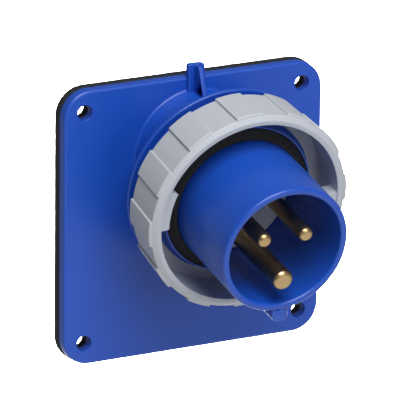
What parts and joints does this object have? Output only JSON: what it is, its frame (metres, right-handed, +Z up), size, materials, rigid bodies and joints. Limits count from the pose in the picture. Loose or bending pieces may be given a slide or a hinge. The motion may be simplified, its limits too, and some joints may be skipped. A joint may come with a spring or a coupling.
{
  "type": "pin and sleeve inlet",
  "caption": "Angled watertight pin and sleeve inlet: square flange on a gasket, tilted funnel neck, keyed sleeve round brass pins, and a turning bayonet locking ring.",
  "frame": {"origin": "on the panel face behind the gasket, at the middle of the four fixing holes", "axes": "+Z up along the flange, +Y out of the back through the panel, +X to the right of someone facing the inlet; the sleeve points to -Y and 11.5 degrees down"},
  "size_m": [0.095, 0.0825, 0.099],
  "materials": {
    "blue_polyamide": "moulded satin blue polyamide",
    "grey_polyamide": "moulded satin light grey polyamide",
    "grey_insert": "moulded grey insert plastic",
    "black_rubber": "moulded black rubber",
    "brass": "turned bright brass",
    "zinc_steel": "zinc plated steel",
    "spring_steel": "stamped spring steel leaf"
  },
  "bodies": {
    "inlet": {"flange_housing": "blue_polyamide", "sleeve_body": "blue_polyamide", "flange_gasket": "black_rubber", "body_o_ring": "black_rubber", "face_seal": "black_rubber", "carrier_o_ring": "black_rubber", "contact_carrier": "grey_insert", "terminal_block": "grey_insert", "earth_pin": "brass", "earth_terminal_screw": "zinc_steel", "earth_wire_guard": "spring_steel", "line_pin": "brass", "line_terminal_screw": "zinc_steel", "line_wire_guard": "spring_steel", "neutral_pin": "brass", "neutral_terminal_screw": "zinc_steel", "neutral_wire_guard": "spring_steel", "top_clamp_screw": "zinc_steel", "left_clamp_screw": "zinc_steel", "right_clamp_screw": "zinc_steel"},
    "ring": {"locking_ring": "grey_polyamide"}
  },
  "joints": [
    {"name": "ring_turn", "type": "hinge", "parent": "inlet", "child": "ring", "pos_m": [0, -0.03934, 0.01432], "axis": [0, 0.9799, 0.1994], "range_deg": [0, 50]}
  ]
}
